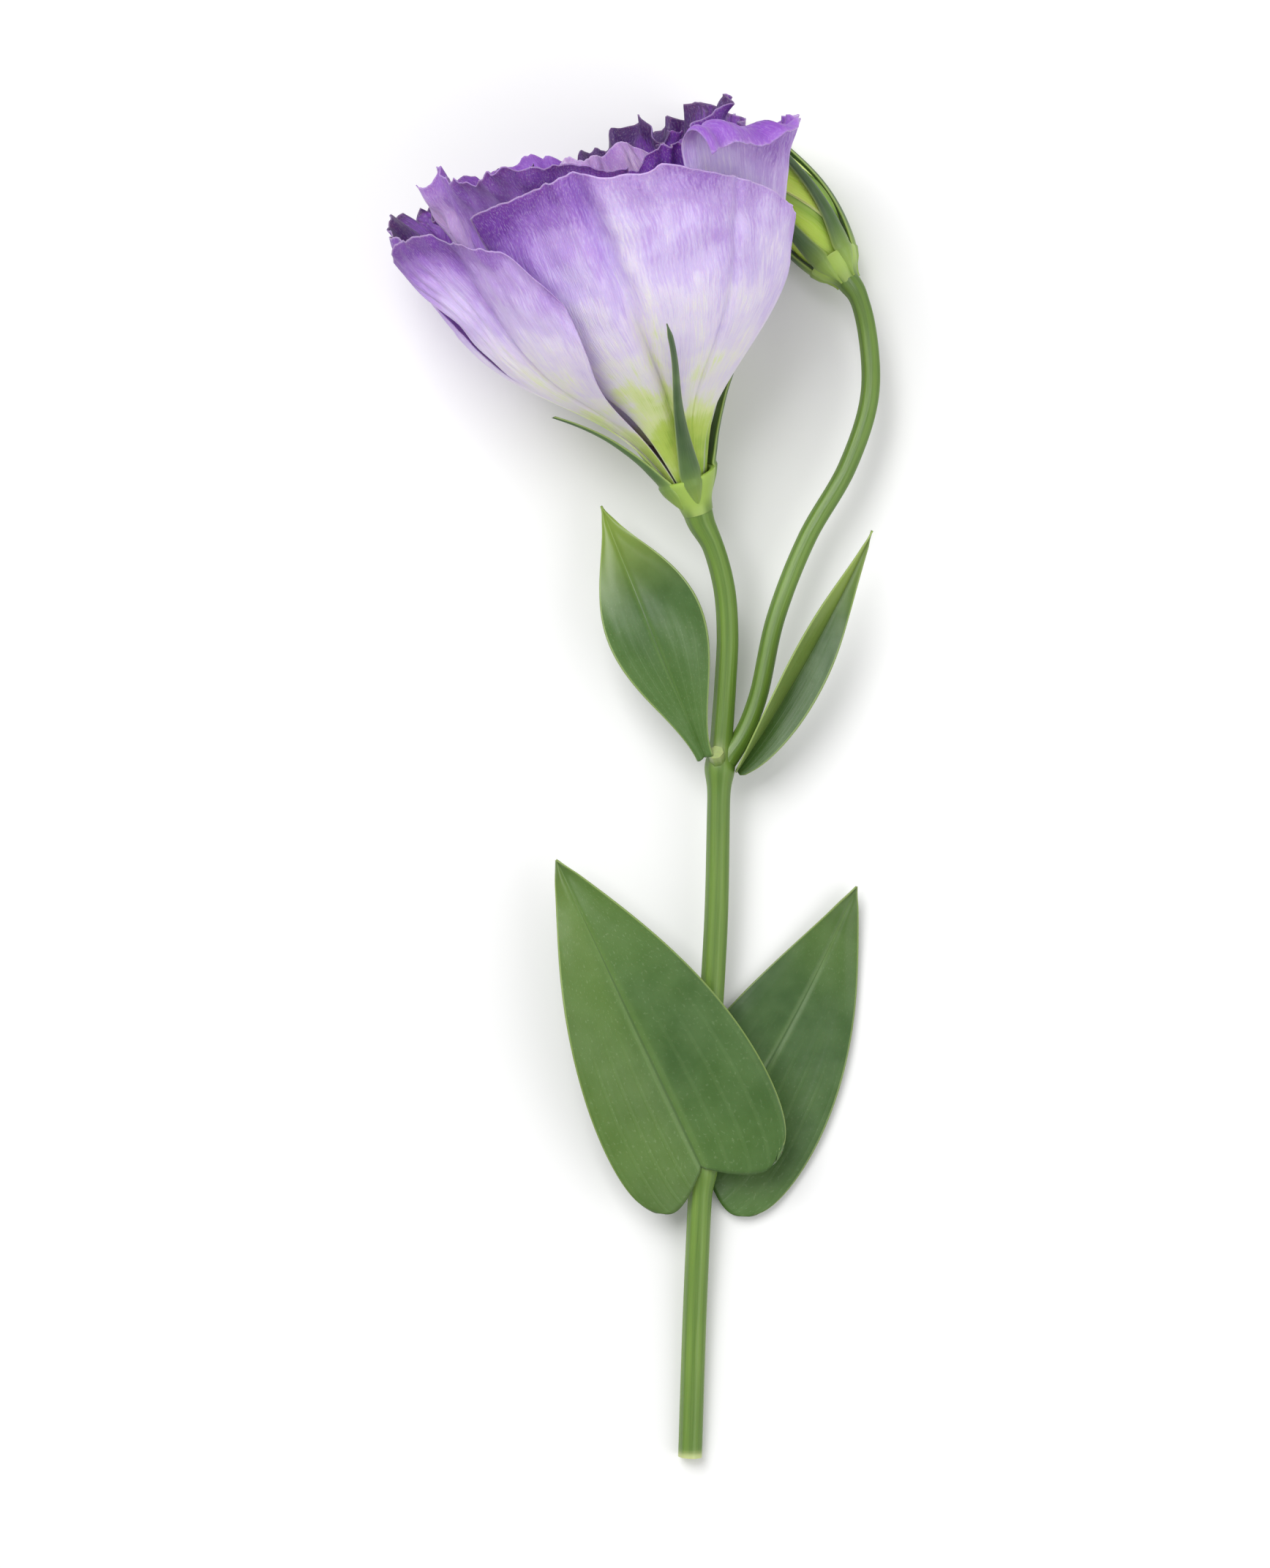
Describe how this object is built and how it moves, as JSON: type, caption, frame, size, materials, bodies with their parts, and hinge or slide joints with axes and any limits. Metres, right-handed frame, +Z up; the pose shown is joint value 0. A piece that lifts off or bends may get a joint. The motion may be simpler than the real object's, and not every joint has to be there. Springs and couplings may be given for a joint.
{
  "type": "lisianthus flower",
  "caption": "Cut lisianthus stem lying down, with an open double violet and white bloom, a twisted green bud on its own stalk and paired oval leaves.",
  "frame": {"origin": "middle of the outline, on the ground that the stem lies on", "axes": "+Y along the stem towards the bloom, +X to the right seen from above with the bloom at the top, +Z up"},
  "size_m": [0.0836, 0.2314, 0.0666],
  "materials": {
    "stem": "satin",
    "calyx": "satin",
    "leaf": "satin",
    "bud": "satin",
    "outer_petal": "satin",
    "inner_petal": "satin",
    "pistil": "satin"
  },
  "bodies": {
    "root": {"stem": "stem", "bloom_calyx": "calyx", "pistil": "pistil", "bud_petals": "bud", "bud_calyx": "calyx", "outer_petal_front": "outer_petal", "outer_petal_right": "outer_petal", "outer_petal_lower_right": "outer_petal", "outer_petal_lower_left": "outer_petal", "outer_petal_left": "outer_petal", "middle_petal_1": "inner_petal", "middle_petal_2": "inner_petal", "middle_petal_3": "inner_petal", "middle_petal_4": "inner_petal", "middle_petal_5": "inner_petal", "inner_petal_1": "inner_petal", "inner_petal_2": "inner_petal", "inner_petal_3": "inner_petal", "inner_petal_4": "inner_petal", "inner_petal_5": "inner_petal", "heart_petal_1": "inner_petal", "heart_petal_2": "inner_petal", "heart_petal_3": "inner_petal", "leaf_upper_left": "leaf", "leaf_upper_right": "leaf", "leaf_lower_front": "leaf", "leaf_lower_back": "leaf"}
  },
  "joints": []
}
